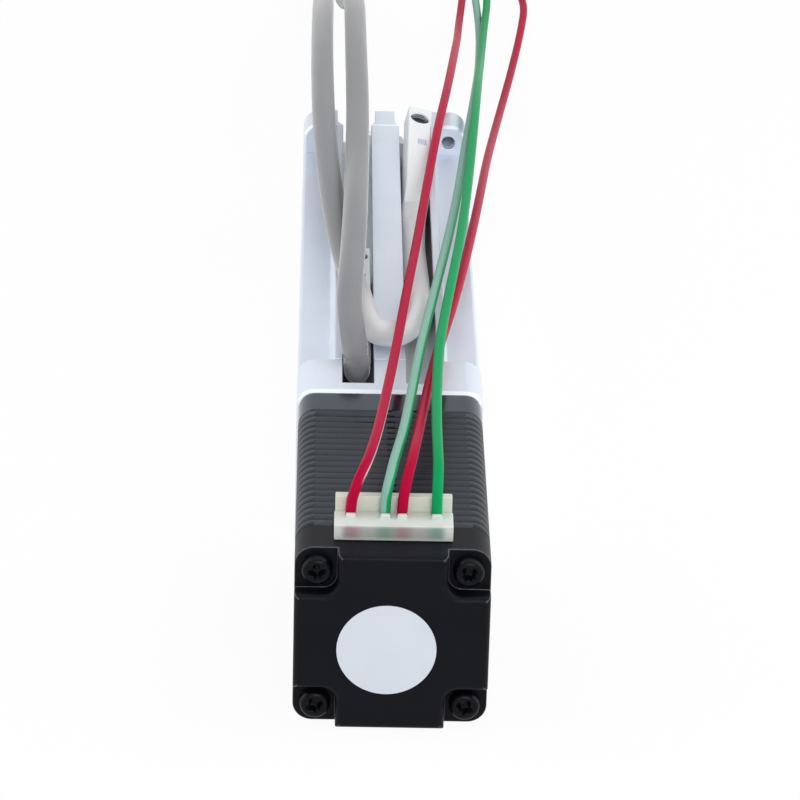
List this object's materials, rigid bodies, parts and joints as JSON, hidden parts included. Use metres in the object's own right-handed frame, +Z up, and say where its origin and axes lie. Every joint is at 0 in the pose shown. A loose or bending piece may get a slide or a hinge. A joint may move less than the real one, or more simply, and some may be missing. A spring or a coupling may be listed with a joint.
{
  "type": "ball screw electric cylinder",
  "caption": "Electric cylinder: a small stepper motor turns a ball screw that pushes a rod out of a slotted square aluminium body with slot sensors and free leads.",
  "frame": {"origin": "centre of the front flange's mounting face, on the screw axis", "axes": "+Y is the way the rod comes out, +Z is up through the sensor slots, +X is to the right seen from the motor"},
  "size_m": [0.0588, 0.2596, 0.0269],
  "materials": {
    "aluminium": "satin anodised",
    "steel": "ground",
    "bearing_steel": "polished",
    "black_housing": "satin black die casting",
    "stator_steel": "dark coated lamination edges",
    "black_screw": "black oxide",
    "copper": "enamelled wire",
    "brass": "plain",
    "magnet": "plain",
    "bush": "sintered bronze",
    "rubber_black": "matte",
    "guide_plastic": "filled plastic",
    "label": "bare pale film",
    "nylon": "natural nylon",
    "sensor_plastic": "moulded cream plastic",
    "window_plastic": "clear lens",
    "cable_grey": "soft sheath",
    "wire_red": "insulation",
    "wire_green": "insulation",
    "wire_pale_green": "insulation with a green stripe",
    "wire_red_striped": "insulation with a white stripe",
    "tie_plastic": "plain"
  },
  "bodies": {
    "body": {"adapter_screws": "steel", "body_extrusion": "aluminium", "connector_header": "nylon", "connector_plug": "nylon", "flange_screws": "steel", "front_bearing_outer": "bearing_steel", "front_bumper": "rubber_black", "front_flange": "aluminium", "front_sensor": "sensor_plastic", "front_sensor_lead": "cable_grey", "header_pins": "brass", "lead_green": "wire_green", "lead_green_white": "wire_pale_green", "lead_red": "wire_red", "lead_red_white": "wire_red_striped", "motor_adapter": "aluminium", "motor_coil_tie": "tie_plastic", "motor_front_bell": "black_housing", "motor_lead_coil": "wire_green", "motor_mount_screws": "steel", "plug_contacts": "brass", "rear_bearing_outer": "bearing_steel", "rear_bell": "black_housing", "rear_bumper": "rubber_black", "rear_label": "label", "rear_sensor": "sensor_plastic", "rear_sensor_lead": "cable_grey", "rear_wave_washer": "steel", "rod_bush": "bush", "sensor_boots": "cable_grey", "sensor_coil_tie": "tie_plastic", "sensor_lead_coil": "cable_grey", "sensor_screws": "steel", "sensor_windows": "window_plastic", "stator_coils": "copper", "stator_core": "stator_steel", "support_bearing_outer": "bearing_steel", "support_washer": "steel", "tie_screws": "black_screw", "wiper_seal": "rubber_black"},
    "screw": {"rotor_shaft": "steel", "rotor_stacks": "steel", "rotor_magnet": "magnet", "coupling_pin": "steel", "clamp_spacer": "aluminium", "ball_screw": "steel", "front_bearing_inner": "bearing_steel", "rear_bearing_inner": "bearing_steel", "support_bearing_inner": "bearing_steel"},
    "rod": {"ball_nut": "steel", "nut_lock_ring": "steel", "nut_carrier": "aluminium", "magnet_ring": "magnet", "guide_rings": "guide_plastic", "anti_rotation_key": "steel", "rod_tube": "steel", "rod_stud": "steel", "rod_nut": "steel"},
    "balls": {"bearing_balls": "bearing_steel"}
  },
  "joints": [
    {"name": "rod_slide", "type": "slide", "parent": "body", "child": "rod", "axis": [0, 1, 0], "range_m": [0, 0.04]},
    {"name": "screw_spin", "type": "hinge", "parent": "body", "child": "screw", "pos_m": [0, -0.09, 0], "axis": [0, 1, 0], "range_deg": [0, 7200]},
    {"name": "balls_spin", "type": "hinge", "parent": "body", "child": "balls", "pos_m": [0, -0.09, 0], "axis": [0, 1, 0], "range_deg": [0, 3150]}
  ],
  "couplings": [
    {"joint": "screw_spin", "follows": "rod_slide", "rad_per_m": 3141.6},
    {"joint": "balls_spin", "follows": "rod_slide", "rad_per_m": 1374.4}
  ]
}
